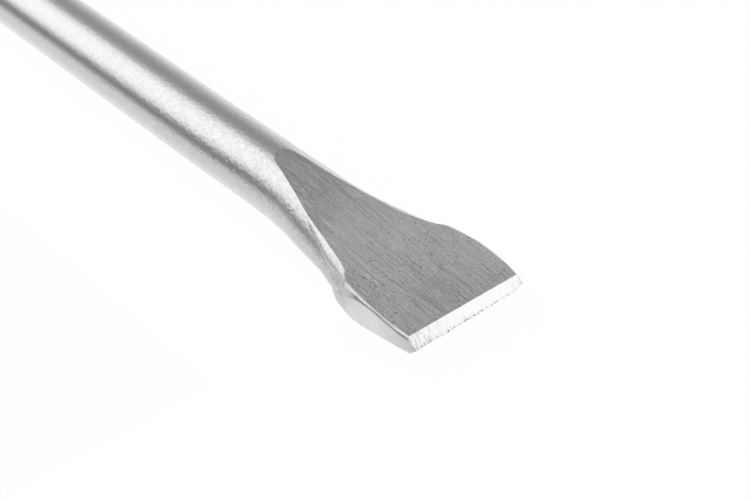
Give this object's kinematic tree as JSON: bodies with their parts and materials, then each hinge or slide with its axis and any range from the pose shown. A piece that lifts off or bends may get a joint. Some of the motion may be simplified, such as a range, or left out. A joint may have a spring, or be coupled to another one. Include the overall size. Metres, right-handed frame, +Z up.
{
  "type": "rotary hammer flat chisel",
  "caption": "Flat chisel for a rotary hammer: a grooved round shank, a round bar, and a forged neck that widens into a ground spade-shaped blade.",
  "frame": {"origin": "on the floor, below the middle of the tool's length and width, with the blade level and the round bar touching the floor", "axes": "+X along the tool from the shank to the cutting edge, +Y across the blade, +Z up and square to the flat of the blade"},
  "size_m": [0.25, 0.026, 0.014],
  "materials": {
    "forged_steel": "shot-blasted forged steel, with ground blade faces and edge bevels"
  },
  "bodies": {
    "root": {"chisel": "forged_steel"}
  },
  "joints": []
}
